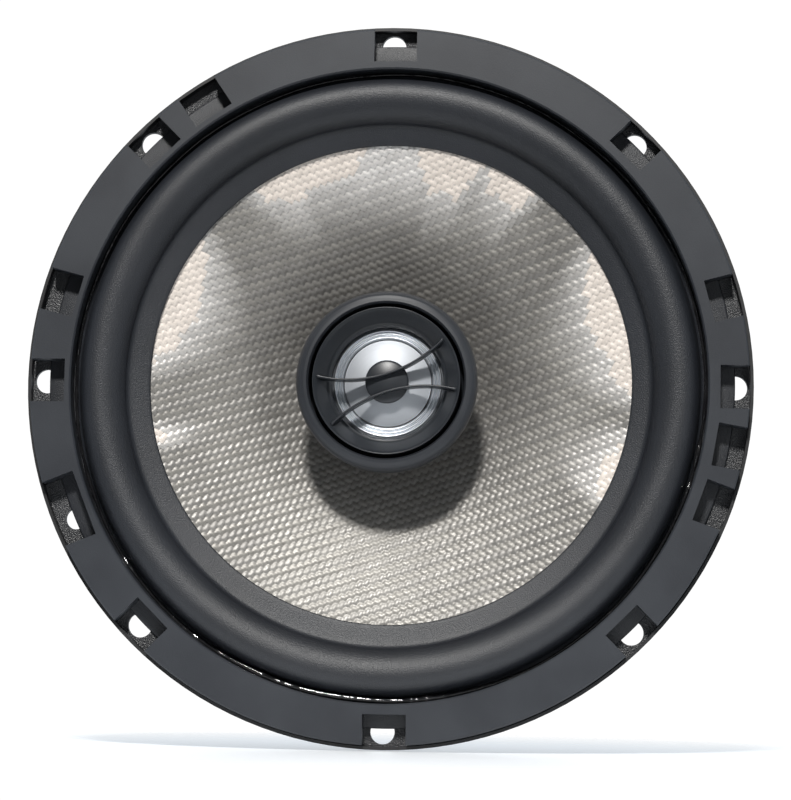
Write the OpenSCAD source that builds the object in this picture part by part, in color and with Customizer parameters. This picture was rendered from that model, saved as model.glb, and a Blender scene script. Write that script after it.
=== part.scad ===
// Coaxial car speaker of the 165 mm class: a woven cone in a pressed steel basket, with a
// dome tweeter on a hollow post that stands on the pole of the motor.
// The axis lies along Y, the front faces -Y and +Z is up. The origin is the middle of the
// mounting plane, which is the back of the basket's flange.
// Each part is drawn round its own Z, which counts depth from the mounting plane to the
// rear, and on_axis() then lays that depth along +Y. Clock angles run clockwise from the
// top as the front is seen.

/* [Flange] */
// Outer diameter of the basket's flange
flange_d = 165; // [164:0.5:168]
// Thickness of the basket's steel
sheet = 1.2; // [1:0.1:1.3]
// Height of the flange's turned-up rim over its face
rim_h = 2.8; // [1.5:0.1:3.5]
// Thickness of the rim
rim_t = 0.7; // [0.5:0.1:0.8]
// Diameter of the screw circle
screw_pcd = 157; // [156.5:0.1:157.5]
// Diameter of the screw holes
screw_hole_d = 5.5; // [5:0.1:5.6]
// Number of screw holes
screw_count = 8; // [4, 8]

/* [Trim ring] */
// Front of the trim ring ahead of the mounting plane
ring_front = 7; // [6:0.1:8]
// Inner diameter of the trim ring
ring_in_d = 144.4; // [144:0.1:145]
// Outer diameter of the trim ring
ring_out_d = 163; // [161:0.1:163.2]
// Width of a screw pocket
pocket_w = 9.8; // [9:0.1:11]

/* [Cone and suspension] */
// Diameter at which the half roll leaves the cone
roll_in_d = 120.4; // [120:0.1:121]
// Diameter at which the half roll meets the flange
roll_out_d = 140.6; // [140:0.1:141]
// Diameter of the part of the cone that shows
cone_seen_d = 109.4; // [106:0.2:112]
// Depth of the cone from its edge to its neck
cone_depth = 17; // [15:0.5:18]
// Thickness of the cone
cone_t = 0.6; // [0.5:0.1:0.8]
// Depth of the spider behind the mounting plane
spider_z = 21.55; // [21.5:0.05:21.6]

/* [Motor] */
// Radius of the voice coil's former inside
coil_r = 12.6; // [12.5:0.05:12.7]
// Diameter of the magnet
magnet_d = 80; // [78:1:84]
// Thickness of the magnet
magnet_t = 14; // [12:1:16]
// Thickness of the top plate and of the back plate
plate_t = 5; // [4:0.5:6]

/* [Tweeter] */
// Outer diameter of the tweeter's housing
tweeter_d = 41; // [40:0.5:42]
// Plane of the bezel's front edge ahead of the mounting plane
bezel_front = 10; // [9.5:0.1:10.5]
// Diameter of the tweeter's dome
dome_d = 19.8; // [19:0.1:20]
// Diameter of the small disc that the two blades carry
disc_d = 9.8; // [9:0.1:11]

/* [Hidden] */
$fn = 96;

eps = 0.01;
cut = 1;
glue = 0.1;

// Flange
flange_r = flange_d / 2;
rim_bend = 1;
hole_step = 360 / screw_count;
key_hole_r = 2.35;
key_hole_at = 77.6;
key_hole_clock = -114;
ring_foot_gap = 0.2;
surround_t = 0.7;
lip_r = 78.2;
lip_off = 0.5;
lip_off_clock = 35;
pocket_in_r = 74.2;
// The pattern of pockets lies this far off the axis, to the right and downwards
pocket_off = [0.65, -0.3];
blind_clocks = [75, 100, 110, -75, -34];
key_pocket_clock = -112;
key_pocket_w = 15.4;

// Basket, as the middle line of its steel
skirt_r = 70.6;
skirt_end = [69.6, 7];
seat_z = spider_z + 0.25 + sheet / 2;
seat_out_r = 50.4;
seat_in_r = 42.5;
rear_z = 32.4;
rear_r = 40.5;
rear_hole_r = 27;
window_count = 6;
window_z = [8.6, 20.6];
window_half = [26, 19.5];
window_corner = 3.5;

// Cone and suspension
cone_edge_z = -2;
cone_edge_r = 60;
neck_r = coil_r + 0.45;
cone_slope = 0.3;
cone_curve = (cone_depth - cone_slope * (cone_edge_r - neck_r)) / pow(cone_edge_r - neck_r, 3);
roll_r = (roll_out_d - roll_in_d) / 4;
roll_mid_r = (roll_out_d + roll_in_d) / 4;
lip_z = -sheet - surround_t / 2;
spider_t = 0.5;
spider_out_r = 49;

// Motor
top_z = rear_z + sheet / 2;
mag_z = top_z + plate_t;
back_z = mag_z + magnet_t;
end_z = back_z + plate_t;
plate_r = magnet_d / 2 - 2.5;
pole_r = coil_r - 0.4;
winding_r = coil_r + 0.85;
gap_r = winding_r + 0.5;
former_t = 0.25;
former_z = [13.5, 42];
winding_z = [30.2, 41.2];
pole_front_z = top_z - 0.4;
post_r = 4.8;
spigot_r = 3.9;
post_bore_r = 2.4;
nut_recess_r = 8.6;
nut_recess_z = end_z - 4.6;
boot_t = 1.5;
boot_gap = 0.06;
boot_z = 40;
boot_hole_r = 22;
wire_slot_w = 5;
motor_screw_r = 32.5;
motor_screw_count = 4;

// Tweeter
tweeter_r = tweeter_d / 2;
rim_front = -bezel_front - 0.4;
frame_z = -3.1;
suspension_z = frame_z - 0.15;
dome_r = dome_d / 2;
dome_h = 2.4;
film_t = 0.3;
suspension_r = 12.7;
cup_r = 12.6;
cup_in_r = 10.35;
cup_z = [-2, 5];
pole_plate_r = 9.1;
blade_r = 29.8;
blade_t = 0.8;
blade_centre = [-9.1, 30.4];
blade_drop = 0.4;
blade_z = [-9.4, -6.8];
disc_front = -8.2;
disc_dome_h = 0.9;

// Terminal board
board_clock = 210;
board_r = [44, 64];
board_w = 28;
board_t = 1.6;
board_z = seat_z + sheet / 2;
terminal_off = 10.6;
terminal_t = 0.8;
tinsel_r = 0.5;
wire_r = 0.7;
wire_off = 1;
cap_r = 4.5;
cap_l = 13;
cap_at = [52.4, board_z + board_t + cap_r];
lead_r = 0.4;
lead_off = 9.2;

// Lays a part's depth along +Y.
module on_axis() { rotate([-90, 0, 0]) children(); }

// Turns what points along local X to a clock angle.
module at_clock(a) { rotate([0, 0, a - 90]) children(); }

// A ring or a disc between two radii and two depths.
module tube(r_out, r_in, z1, z2) {
    translate([0, 0, z1]) difference() {
        cylinder(r = r_out, h = z2 - z1);
        if (r_in > 0) translate([0, 0, -cut]) cylinder(r = r_in, h = z2 - z1 + 2 * cut);
    }
}

function reverse(v) = [for (i = [len(v) - 1 : -1 : 0]) v[i]];
function unit(v) = v / norm(v);
function left(a, b) = let (d = unit(b - a)) [-d[1], d[0]];

// The points of a path moved sideways by h, with mitred corners.
function side(path, h) = let (last = len(path) - 1) [for (i = [0 : last])
    let (a = left(path[max(i - 1, 0)], path[max(i, 1)]),
         b = left(path[min(i, last - 1)], path[min(i + 1, last)]),
         m = unit(a + b))
    path[i] + m * h / (m * a)];

// A path thickened into an outline of sheet material.
function sheet_outline(path, t) = concat(side(path, t / 2), reverse(side(path, -t / 2)));

// The corner b between a and c, rounded off over the distance d on each side.
function bend(a, b, c, d, n = 5) =
    let (s = b + unit(a - b) * d, e = b + unit(c - b) * d)
    [for (i = [0 : n]) let (t = i / n)
        s * pow(1 - t, 2) + b * 2 * t * (1 - t) + e * pow(t, 2)];

// A path whose inner corners are all rounded off over the distance d.
function rounded(path, d) = let (last = len(path) - 1)
    concat([path[0]], [for (i = [1 : last - 1]) each bend(path[i - 1], path[i], path[i + 1], d)],
        [path[last]]);

// The same for a closed outline.
function rounded_loop(loop, d) = let (n = len(loop))
    [for (i = [0 : n - 1]) each bend(loop[(i + n - 1) % n], loop[i], loop[(i + 1) % n], d)];

function arc(c, r, a1, a2, n) = [for (i = [0 : n]) let (a = a1 + (a2 - a1) * i / n)
    c + r * [cos(a), sin(a)]];

module revolve(outline) { rotate_extrude($fn = 180) polygon(outline); }

// A round wire along a route of points, as one closed solid with eight sides.
function route_dir(p, i) = unit(p[min(i + 1, len(p) - 1)] - p[max(i - 1, 0)]);
function route_ring(p, i, r, n) =
    let (d = route_dir(p, i),
         ref = abs(d[0]) < 0.7 ? [1, 0, 0] : [0, 1, 0],
         u = unit(cross(d, ref)),
         v = cross(d, u))
    [for (k = [0 : n - 1]) p[i] + r * (cos(360 * k / n) * u + sin(360 * k / n) * v)];
module wire(p, r, n = 8) {
    rings = len(p);
    points = [for (i = [0 : rings - 1]) each route_ring(p, i, r, n)];
    sides = [for (i = [0 : rings - 2], k = [0 : n - 1], far = [0, 1])
        let (a = i * n + k, b = i * n + (k + 1) % n)
        far == 0 ? [a, b, b + n] : [a, b + n, a + n]];
    polyhedron(points, concat(sides, [[for (k = [n - 1 : -1 : 0]) k]],
        [[for (k = [0 : n - 1]) (rings - 1) * n + k]]), convexity = 6);
}

// A smooth curve through hand-set points, with steps between each pair of them.
function spline_point(a, b, c, d, t) = 0.5 * (2 * b + (c - a) * t
    + (2 * a - 5 * b + 4 * c - d) * pow(t, 2) + (3 * b - a - 3 * c + d) * pow(t, 3));
function spline(p, steps) = let (last = len(p) - 1)
    concat([for (i = [0 : last - 1], k = [0 : steps - 1])
        spline_point(p[max(i - 1, 0)], p[i], p[i + 1], p[min(i + 2, last)], k / steps)],
        [p[last]]);

// Depth of the cone's middle surface at the radius r.
function cone_z(r) = let (x = cone_edge_r - r) cone_edge_z + cone_t / 2 + cone_slope * x
    + cone_curve * pow(x, 3);

// ---- Basket and what it carries ----

basket_path = rounded([[flange_r - sheet / 2, -sheet / 2], [skirt_r, -sheet / 2], skirt_end,
    [seat_out_r, seat_z], [seat_in_r, seat_z], [rear_r, rear_z], [rear_hole_r, rear_z]], 1.4);
rim_outline = concat([[flange_r - rim_bend, -sheet], [flange_r - rim_t, -sheet],
    [flange_r - rim_t, -sheet - rim_h], [flange_r, -sheet - rim_h]],
    arc([flange_r - rim_bend, -rim_bend], rim_bend, 0, 90, 5));

module window() {
    outline = rounded_loop([[-window_half[0], window_z[0]], [window_half[0], window_z[0]],
        [window_half[1], window_z[1]], [-window_half[1], window_z[1]]], window_corner);
    translate([rear_r + 4, 0, 0]) rotate([90, 0, 90]) linear_extrude(flange_r - rear_r - 4)
        polygon(outline);
}

module basket() {
    color("#2a2b2e") on_axis() difference() {
        union() {
            revolve(sheet_outline(basket_path, sheet));
            revolve(rim_outline);
        }
        for (i = [0 : screw_count - 1]) at_clock(i * hole_step)
            translate([screw_pcd / 2, 0, -cut - sheet])
                cylinder(d = screw_hole_d, h = 2 * cut + sheet);
        at_clock(key_hole_clock) translate([key_hole_at, 0, -cut - sheet])
            cylinder(r = key_hole_r, h = 2 * cut + sheet);
        for (i = [0 : window_count - 1]) at_clock(i * 360 / window_count) window();
        for (i = [0 : motor_screw_count - 1]) at_clock(45 + i * 360 / motor_screw_count)
            translate([motor_screw_r, 0, rear_z - cut]) cylinder(r = 2.1, h = 2 * cut);
        at_clock(board_clock) for (s = [-1, 1]) translate([46.5, s * 6, seat_z - cut])
            cylinder(r = 1.6, h = 2 * cut);
    }
}

module pocket(width) {
    translate([pocket_in_r, -width / 2, -ring_front - cut])
        cube([flange_r + cut - pocket_in_r, width, ring_front + cut]);
}

module trim_ring() {
    edge = 0.35;
    r1 = ring_in_d / 2;
    r2 = ring_out_d / 2;
    foot_r = lip_r + lip_off + ring_foot_gap;
    foot_z = -sheet - surround_t;
    color("#4a4c51") on_axis() difference() {
        revolve([[r1 + edge, -ring_front], [r2 - edge, -ring_front], [r2, -ring_front + edge],
            [r2, -sheet], [foot_r, -sheet], [foot_r, foot_z], [r1, foot_z],
            [r1, -ring_front + edge]]);
        translate([pocket_off[0], -pocket_off[1], 0]) {
            for (i = [0 : screw_count - 1]) at_clock(i * hole_step) pocket(pocket_w);
            for (a = blind_clocks) at_clock(a) pocket(pocket_w);
            at_clock(key_pocket_clock) pocket(key_pocket_w);
        }
    }
}

module ring_glue() {
    bead_r = 0.55;
    color("#0c0c0d") on_axis() rotate_extrude($fn = 180)
        translate([ring_in_d / 2 - bead_r - 0.1, -sheet - surround_t - bead_r])
            circle(r = bead_r, $fn = 20);
}

// ---- Suspension, cone and coil ----

inner_lip_z = -cone_t / 2 - surround_t / 2 - glue;
roll_in_z = cone_z(roll_in_d / 2) + inner_lip_z;
roll_z = (roll_in_z + lip_z) / 2;
surround_path = concat(
    [[cone_seen_d / 2, cone_z(cone_seen_d / 2) + inner_lip_z],
     [roll_in_d / 2 - 0.6, cone_z(roll_in_d / 2 - 0.6) + inner_lip_z]],
    arc([roll_mid_r, roll_z], roll_r, 180, 360, 20),
    [[roll_out_d / 2 + 0.6, lip_z], [lip_r + lip_off, lip_z]]);

// The outer lip is trimmed a little off centre, so it covers the upper screw holes more.
module surround() {
    color("#2b2d31") on_axis() intersection() {
        revolve(sheet_outline(surround_path, surround_t));
        at_clock(lip_off_clock) translate([lip_off, 0, -ring_front - 4])
            cylinder(r = lip_r, h = 2 * ring_front + 8, $fn = 180);
    }
}

cone_steps = 16;
cone_path = [for (i = [0 : cone_steps]) let (r = neck_r + (cone_edge_r - 0.4 - neck_r)
    * i / cone_steps) [r, cone_z(r)]];

module cone() {
    color("#b3aa9d") on_axis() revolve(sheet_outline(cone_path, cone_t));
}

module coil_former() {
    color("#c9a86b") on_axis() tube(coil_r + former_t, coil_r, former_z[0], former_z[1]);
}

module coil_winding() {
    color("#b0662c") on_axis() tube(winding_r, coil_r + former_t, winding_z[0], winding_z[1]);
}

// Waves between the former and the flat that lies on the basket's seat.
spider_waves = 5;
spider_wave_r = [17, 40];
spider_amp = 1.4;
spider_path = concat([[neck_r + glue, spider_z]],
    [for (i = [0 : spider_waves * 8]) let (t = i / (spider_waves * 8))
        [spider_wave_r[0] + (spider_wave_r[1] - spider_wave_r[0]) * t,
         spider_z - spider_amp * sin(360 * spider_waves * t)]],
    [[spider_out_r, spider_z]]);

module spider() {
    color("#8a6a2f") on_axis() revolve(sheet_outline(spider_path, spider_t));
}

// ---- Motor ----

module top_plate() {
    color("#77797c") on_axis() difference() {
        tube(plate_r, gap_r, top_z, mag_z);
        for (i = [0 : motor_screw_count - 1]) at_clock(45 + i * 360 / motor_screw_count)
            translate([motor_screw_r, 0, top_z - cut]) cylinder(r = 2, h = 4 + cut);
    }
}

module magnet() {
    color("#35373a") on_axis() tube(magnet_d / 2, magnet_d / 4 - 1.5, mag_z, back_z);
}

module yoke() {
    color("#6f7174") on_axis() difference() {
        union() {
            translate([0, 0, back_z]) cylinder(r = plate_r, h = plate_t);
            translate([0, 0, pole_front_z]) cylinder(r = pole_r, h = end_z - pole_front_z);
        }
        translate([0, 0, pole_front_z - cut])
            cylinder(r = spigot_r + 0.15, h = end_z - pole_front_z + 2 * cut);
        translate([0, 0, nut_recess_z]) cylinder(r = nut_recess_r, h = end_z - nut_recess_z + cut);
    }
}

module magnet_boot() {
    r = magnet_d / 2;
    round = 1.2;
    color("#1d1e20") on_axis() difference() {
        revolve([[r + boot_gap, boot_z], [r + boot_t, boot_z], [r + boot_t, end_z + boot_t - round],
            [r + boot_t - round, end_z + boot_t], [boot_hole_r, end_z + boot_t],
            [boot_hole_r, end_z], [r - 1, end_z], [r + boot_gap, end_z - 1]]);
        at_clock(board_clock) translate([0, -wire_slot_w / 2, boot_z - cut])
            cube([r + 2 * boot_t, wire_slot_w, end_z - boot_z + 2 * boot_t + cut]);
    }
}

module motor_screws() {
    head_r = 3.6;
    head_h = 1.8;
    color("#909296") on_axis() for (i = [0 : motor_screw_count - 1])
        at_clock(45 + i * 360 / motor_screw_count) translate([motor_screw_r, 0, 0])
            difference() {
                union() {
                    translate([0, 0, rear_z - sheet / 2 - head_h])
                        cylinder(r1 = head_r - 0.7, r2 = head_r, h = head_h);
                    translate([0, 0, rear_z - sheet / 2]) cylinder(r = 1.95, h = sheet + 3.8);
                }
                for (a = [0, 90]) rotate([0, 0, a])
                    translate([-2, -0.4, rear_z - sheet / 2 - head_h - cut])
                        cube([4, 0.8, cut + 1]);
            }
}

module tweeter_post() {
    flange_z = cup_z[1];
    color("#232427") on_axis() difference() {
        union() {
            translate([0, 0, flange_z]) cylinder(r = 9, h = 1.4);
            translate([0, 0, flange_z]) cylinder(r = post_r, h = pole_front_z - flange_z);
            translate([0, 0, flange_z]) cylinder(r = spigot_r, h = end_z - 0.2 - flange_z);
        }
        translate([0, 0, flange_z - cut]) cylinder(r = post_bore_r, h = end_z + 2 * cut);
    }
}

module post_washer() {
    color("#b9bbbd") on_axis() tube(8, spigot_r + 0.1, nut_recess_z, nut_recess_z + 0.9);
}

module post_nut() {
    color("#c3c5c7") on_axis() translate([0, 0, nut_recess_z + 0.9]) difference() {
        cylinder(r = 7.2, h = 3, $fn = 6);
        translate([0, 0, -cut]) cylinder(r = spigot_r + 0.02, h = 3 + 2 * cut);
    }
}

// ---- Tweeter ----

housing_path = concat(
    arc([tweeter_r - 2.5, rim_front + 2.5], 2.5, -90, 0, 6),
    [for (i = [1 : 8]) let (t = i / 8)
        [tweeter_r - 5.8 * pow(t, 2), rim_front + 4.4 + 11.6 * t]],
    [[tweeter_r - 7.4, cup_z[1] + 2.4]]);

module tweeter_housing() {
    wall = 1.3;
    back_z = cup_z[1] + 2.4;
    outline = concat([[tweeter_r - 2.9, rim_front + 0.8], [tweeter_r - 2.5, rim_front]],
        housing_path, [[post_r + 0.3, back_z], [post_r + 0.3, back_z - 1],
        [tweeter_r - 8, back_z - 1]],
        reverse([for (i = [2 : 8]) let (t = i / 8)
            [tweeter_r - wall - 5.8 * pow(t, 2) - 0.25 * t, rim_front + 4.4 + 11.6 * t - 0.5 * t]]),
        [[tweeter_r - 1.7, rim_front + 4.6], [tweeter_r - 2.9, rim_front + 3.4]]);
    color("#2f3135") on_axis() revolve(outline);
}

module tweeter_frame() {
    color("#1b1c1e") on_axis() revolve([[17.3, frame_z], [17.3, -1.4], [16.7, 0.4],
        [suspension_r + 0.2, 0.4], [suspension_r + 0.2, frame_z]]);
}

// Funnel, clamp foot, two thin curved blades and the disc that they carry.
module tweeter_bezel() {
    mouth_r = 16.4;
    throat_r = 13.4;
    throat_z = -5.6;
    disc_round = (pow(disc_d / 2, 2) + pow(disc_dome_h, 2)) / (2 * disc_dome_h);
    function funnel_r(z) = mouth_r + 0.15
        - (mouth_r - throat_r) * (z + bezel_front) / (throat_z + bezel_front);
    color("#26272a") on_axis() union() {
        revolve([[mouth_r, -bezel_front], [mouth_r + 0.3, -bezel_front],
            [mouth_r + 0.3, frame_z - 0.8], [17.2, frame_z - 0.8], [17.2, frame_z],
            [14.8, frame_z], [14.8, frame_z - 0.3], [suspension_r, frame_z - 0.3],
            [suspension_r, frame_z - 1.1], [throat_r, throat_z]]);
        intersection() {
            translate([0, blade_drop, 0]) for (a = [0, 180]) rotate([0, 0, a])
                translate([blade_centre[0], -blade_centre[1], blade_z[0]]) difference() {
                    cylinder(r = blade_r + blade_t / 2, h = blade_z[1] - blade_z[0], $fn = 240);
                    translate([0, 0, -cut])
                        cylinder(r = blade_r - blade_t / 2, h = 9, $fn = 240);
                }
            translate([0, 0, blade_z[0]])
                cylinder(r1 = funnel_r(blade_z[0]), r2 = funnel_r(blade_z[1]),
                    h = blade_z[1] - blade_z[0]);
        }
        revolve(concat(arc([0, disc_front + disc_round], disc_round, -90,
                asin(disc_d / 2 / disc_round) - 90, 6),
            [[disc_d / 2, disc_front + 1.8], [0, disc_front + 1.8]]));
    }
}

dome_sphere_r = (pow(dome_r, 2) + pow(dome_h, 2)) / (2 * dome_h);
dome_centre = [0, suspension_z - dome_h + dome_sphere_r];
dome_edge = asin((dome_r - 0.1) / dome_sphere_r);

module tweeter_dome() {
    color("#d6d8da") on_axis() revolve(concat(
        arc(dome_centre, dome_sphere_r + film_t / 2, dome_edge - 90, -90, 10),
        arc(dome_centre, dome_sphere_r - film_t / 2, -90, dome_edge - 90, 10)));
}

// Three fine ridges between the dome and the rim clamped under the bezel.
ridges = 3;
ridge_h = 0.35;
suspension_path = concat(
    [for (i = [0 : ridges * 8]) let (t = i / (ridges * 8))
        [dome_r + 0.25 + (suspension_r - dome_r - 0.45) * t,
         suspension_z - ridge_h * (1 - cos(360 * ridges * t)) / 2]],
    [[14.6, suspension_z]]);

module tweeter_suspension() {
    color("#c9cbce") on_axis() revolve(sheet_outline(suspension_path, film_t * 0.9));
}

module tweeter_coil() {
    color("#a8622c") on_axis() tube(dome_r - 0.1, dome_r - 0.4, suspension_z + 0.35, 0.8);
}

module tweeter_pad() {
    color("#3a3a3c") on_axis() tube(7.5, 1.5, cup_z[0] - 1, cup_z[0]);
}

module tweeter_pole_plate() {
    color("#85878a") on_axis() tube(pole_plate_r, 1.5, cup_z[0], cup_z[0] + 1.8);
}

module tweeter_magnet() {
    color("#a3a5a8") on_axis() tube(8.6, 1.5, cup_z[0] + 1.8, cup_z[1] - 1.8);
}

module tweeter_cup() {
    color("#7d7f82") on_axis() difference() {
        tube(cup_r, 1.5, cup_z[0], cup_z[1]);
        translate([0, 0, cup_z[0] - cut])
            cylinder(r = cup_in_r, h = cup_z[1] - cup_z[0] - 1.8 + cut);
    }
}

// ---- Terminals and wiring ----

module terminal_board() {
    color("#6b4a2b") on_axis() at_clock(board_clock) difference() {
        translate([board_r[0], -board_w / 2, board_z])
            cube([board_r[1] - board_r[0], board_w, board_t]);
        for (s = [-1, 1]) translate([46.5, s * 6, board_z - cut])
            cylinder(r = 1.6, h = board_t + 2 * cut);
        for (s = [-1, 1]) translate([57, s * terminal_off, board_z - cut])
            cylinder(r = 1.3, h = board_t + 2 * cut);
    }
}

module board_rivets() {
    low = seat_z - sheet / 2 + 0.05;
    top = board_z + board_t;
    color("#b8babc") on_axis() at_clock(board_clock) for (s = [-1, 1])
        translate([46.5, s * 6, 0]) {
            translate([0, 0, low]) cylinder(r = 1.5, h = top - low + eps);
            translate([0, 0, top]) cylinder(r1 = 2.6, r2 = 2, h = 0.9);
        }
}

// A flat spade with its rivet and a solder tab that points into the basket.
module terminal(tab_w, off) {
    top = board_z + board_t;
    on_axis() at_clock(board_clock) translate([0, off, 0]) union() {
        translate([51, -tab_w / 2, top]) cube([18, tab_w, terminal_t]);
        translate([57, 0, board_z - 0.8]) cylinder(r = 1.25, h = board_t + 0.8 + eps);
        translate([57, 0, board_z - 0.8]) cylinder(r = 2, h = 0.8);
        translate([54, -1.5, board_z - 0.8]) cube([3, 3, 0.6]);
    }
}

module positive_terminal() { color("#c9b26a") terminal(6.3, terminal_off); }
module negative_terminal() { color("#c9b26a") terminal(4.8, -terminal_off); }

// From the solder tab through the window, in front of the spider, to the back of the cone.
tinsel_route = [[54.6, 0, board_z - 1.4], [52.2, 0, 19.2], [48, -0.4, 17.4], [42, -1.2, 17],
    [36, -2.2, 16], [31, -3.2, 13.6], [28.4, -3.8, 10.6]];
function mirrored(p, s, off) = [for (q = p) [q[0], s * (off + q[1]), q[2]]];

module tinsel(s) {
    color("#b5894b") on_axis() at_clock(board_clock)
        wire(spline(mirrored(tinsel_route, s, terminal_off), 3), tinsel_r);
}

module positive_tinsel() { tinsel(1); }
module negative_tinsel() { tinsel(-1); }

module crossover_capacitor() {
    color("#2d4a7a") on_axis() at_clock(board_clock)
        translate([cap_at[0], 0, cap_at[1]]) union() {
            rotate([90, 0, 0]) translate([0, 0, -cap_l / 2]) cylinder(r = cap_r, h = cap_l);
            rotate([90, 0, 0]) translate([0, 0, -lead_off - lead_r])
                cylinder(r = lead_r, h = 2 * (lead_off + lead_r));
            translate([0, lead_off, terminal_t + eps - cap_r])
                cylinder(r = lead_r, h = cap_r - terminal_t);
        }
}

module capacitor_strap() {
    w = 3;
    t = 0.8;
    color("#111214") on_axis() at_clock(board_clock)
        translate([cap_at[0], w / 2, cap_at[1]]) rotate([90, 0, 0]) linear_extrude(w)
            difference() {
                union() {
                    circle(r = cap_r + t);
                    translate([-cap_r - t, -cap_r]) square([2 * (cap_r + t), cap_r]);
                }
                circle(r = cap_r + eps);
                translate([-cap_r - eps, -cap_r - cut]) square([2 * (cap_r + eps), cap_r + cut]);
            }
}

// Down the post, over the nut, along the slot of the boot and forward to the board.
wire_route = [[0, 0, cup_z[1] + 0.2], [0, 0, 20], [0, 0, 40], [0, 0, end_z - 2],
    [1.2, 0, end_z + 0.4], [5, 0, end_z + 0.75], [20, 0, end_z + 0.75], [38, 0, end_z + 0.75],
    [40.4, 0, end_z + 0.1], [40.8, 0, end_z - 3], [40.8, 0, 48], [41, 0, 40]];
positive_tail = [[43.2, 0.6, 37.5], [47, -4, 34.8], [51, -8.6, 32], [52.4, -9.1, 30.3]];
negative_tail = [[42.4, -3.6, 35], [45.6, -9.4, 30], [49.6, -11.2, 27], [52.4, -11.4, 26.2]];

module tweeter_wire_positive() {
    color("#8e1f1c") on_axis() at_clock(board_clock) wire(spline(concat(
        [for (q = wire_route) [q[0], q[1] + wire_off, q[2]]], positive_tail), 3), wire_r);
}

module tweeter_wire_negative() {
    color("#17181a") on_axis() at_clock(board_clock) wire(spline(concat(
        [for (q = wire_route) [q[0], q[1] - wire_off, q[2]]], negative_tail), 3), wire_r);
}

basket();
trim_ring();
ring_glue();
surround();
cone();
coil_former();
coil_winding();
spider();
top_plate();
magnet();
yoke();
magnet_boot();
motor_screws();
tweeter_post();
post_washer();
post_nut();
tweeter_housing();
tweeter_frame();
tweeter_bezel();
tweeter_dome();
tweeter_suspension();
tweeter_coil();
tweeter_pad();
tweeter_pole_plate();
tweeter_magnet();
tweeter_cup();
terminal_board();
board_rivets();
positive_terminal();
negative_terminal();
positive_tinsel();
negative_tinsel();
crossover_capacitor();
capacitor_strap();
tweeter_wire_positive();
tweeter_wire_negative();
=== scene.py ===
"""Coaxial car speaker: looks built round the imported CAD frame.

The speaker's axis lies along Y, its front faces -Y and +Z is up. Clock angles run clockwise
from the top as the front is seen. Lengths are written in millimetres and made in metres.
Those in the materials' nodes, the floor, the lights and the camera's clipping are in metres.
"""

import math

import bmesh
import bpy
import numpy as np
from mathutils import Matrix, Vector


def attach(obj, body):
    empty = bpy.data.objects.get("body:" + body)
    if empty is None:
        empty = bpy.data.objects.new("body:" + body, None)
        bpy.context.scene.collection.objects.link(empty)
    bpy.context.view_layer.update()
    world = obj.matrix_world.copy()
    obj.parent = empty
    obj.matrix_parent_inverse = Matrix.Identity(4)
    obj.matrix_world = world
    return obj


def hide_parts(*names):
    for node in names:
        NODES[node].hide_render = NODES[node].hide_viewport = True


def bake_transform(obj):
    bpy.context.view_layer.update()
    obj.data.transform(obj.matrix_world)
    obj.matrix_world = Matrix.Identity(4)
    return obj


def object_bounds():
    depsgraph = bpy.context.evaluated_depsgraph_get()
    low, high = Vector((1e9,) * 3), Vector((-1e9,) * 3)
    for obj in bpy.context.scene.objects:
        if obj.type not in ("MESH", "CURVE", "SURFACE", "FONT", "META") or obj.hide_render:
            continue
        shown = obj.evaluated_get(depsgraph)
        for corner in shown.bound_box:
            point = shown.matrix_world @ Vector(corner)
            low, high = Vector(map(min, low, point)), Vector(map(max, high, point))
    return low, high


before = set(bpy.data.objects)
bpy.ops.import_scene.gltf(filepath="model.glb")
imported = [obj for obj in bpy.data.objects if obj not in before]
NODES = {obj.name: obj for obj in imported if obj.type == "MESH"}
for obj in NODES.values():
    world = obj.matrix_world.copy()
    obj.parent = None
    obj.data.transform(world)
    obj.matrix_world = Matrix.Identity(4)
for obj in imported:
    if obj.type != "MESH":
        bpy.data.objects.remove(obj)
CAD_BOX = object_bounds()
MM = 0.001
TURN = 2 * math.pi
rng = np.random.default_rng(7)

# ---------------------------------------------------------------- camera

EYE = (37.86, -571.92, -67.47)
AIM = (1.575, 0.0, -3.33)
CAMERA_ROLL = math.radians(1.0)
SENSOR_WIDTH, LENS = 36, 114.99
NEAREST, FARTHEST = 0.01, 50


def make_camera():
    eye = Vector(EYE) * MM
    look = (Vector(AIM) * MM - eye).normalized()
    data = bpy.data.cameras.new("camera")
    data.sensor_fit = "HORIZONTAL"
    data.sensor_width = SENSOR_WIDTH
    data.lens = LENS
    data.clip_start = NEAREST
    data.clip_end = FARTHEST
    cam = bpy.data.objects.new("camera", data)
    bpy.context.scene.collection.objects.link(cam)
    turn = look.to_track_quat("-Z", "Y").to_matrix().to_4x4()
    cam.matrix_world = Matrix.Translation(eye) @ turn @ Matrix.Rotation(CAMERA_ROLL, 4, "Z")
    bpy.context.scene.camera = cam


make_camera()

# ---------------------------------------------------------------- node helpers


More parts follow.
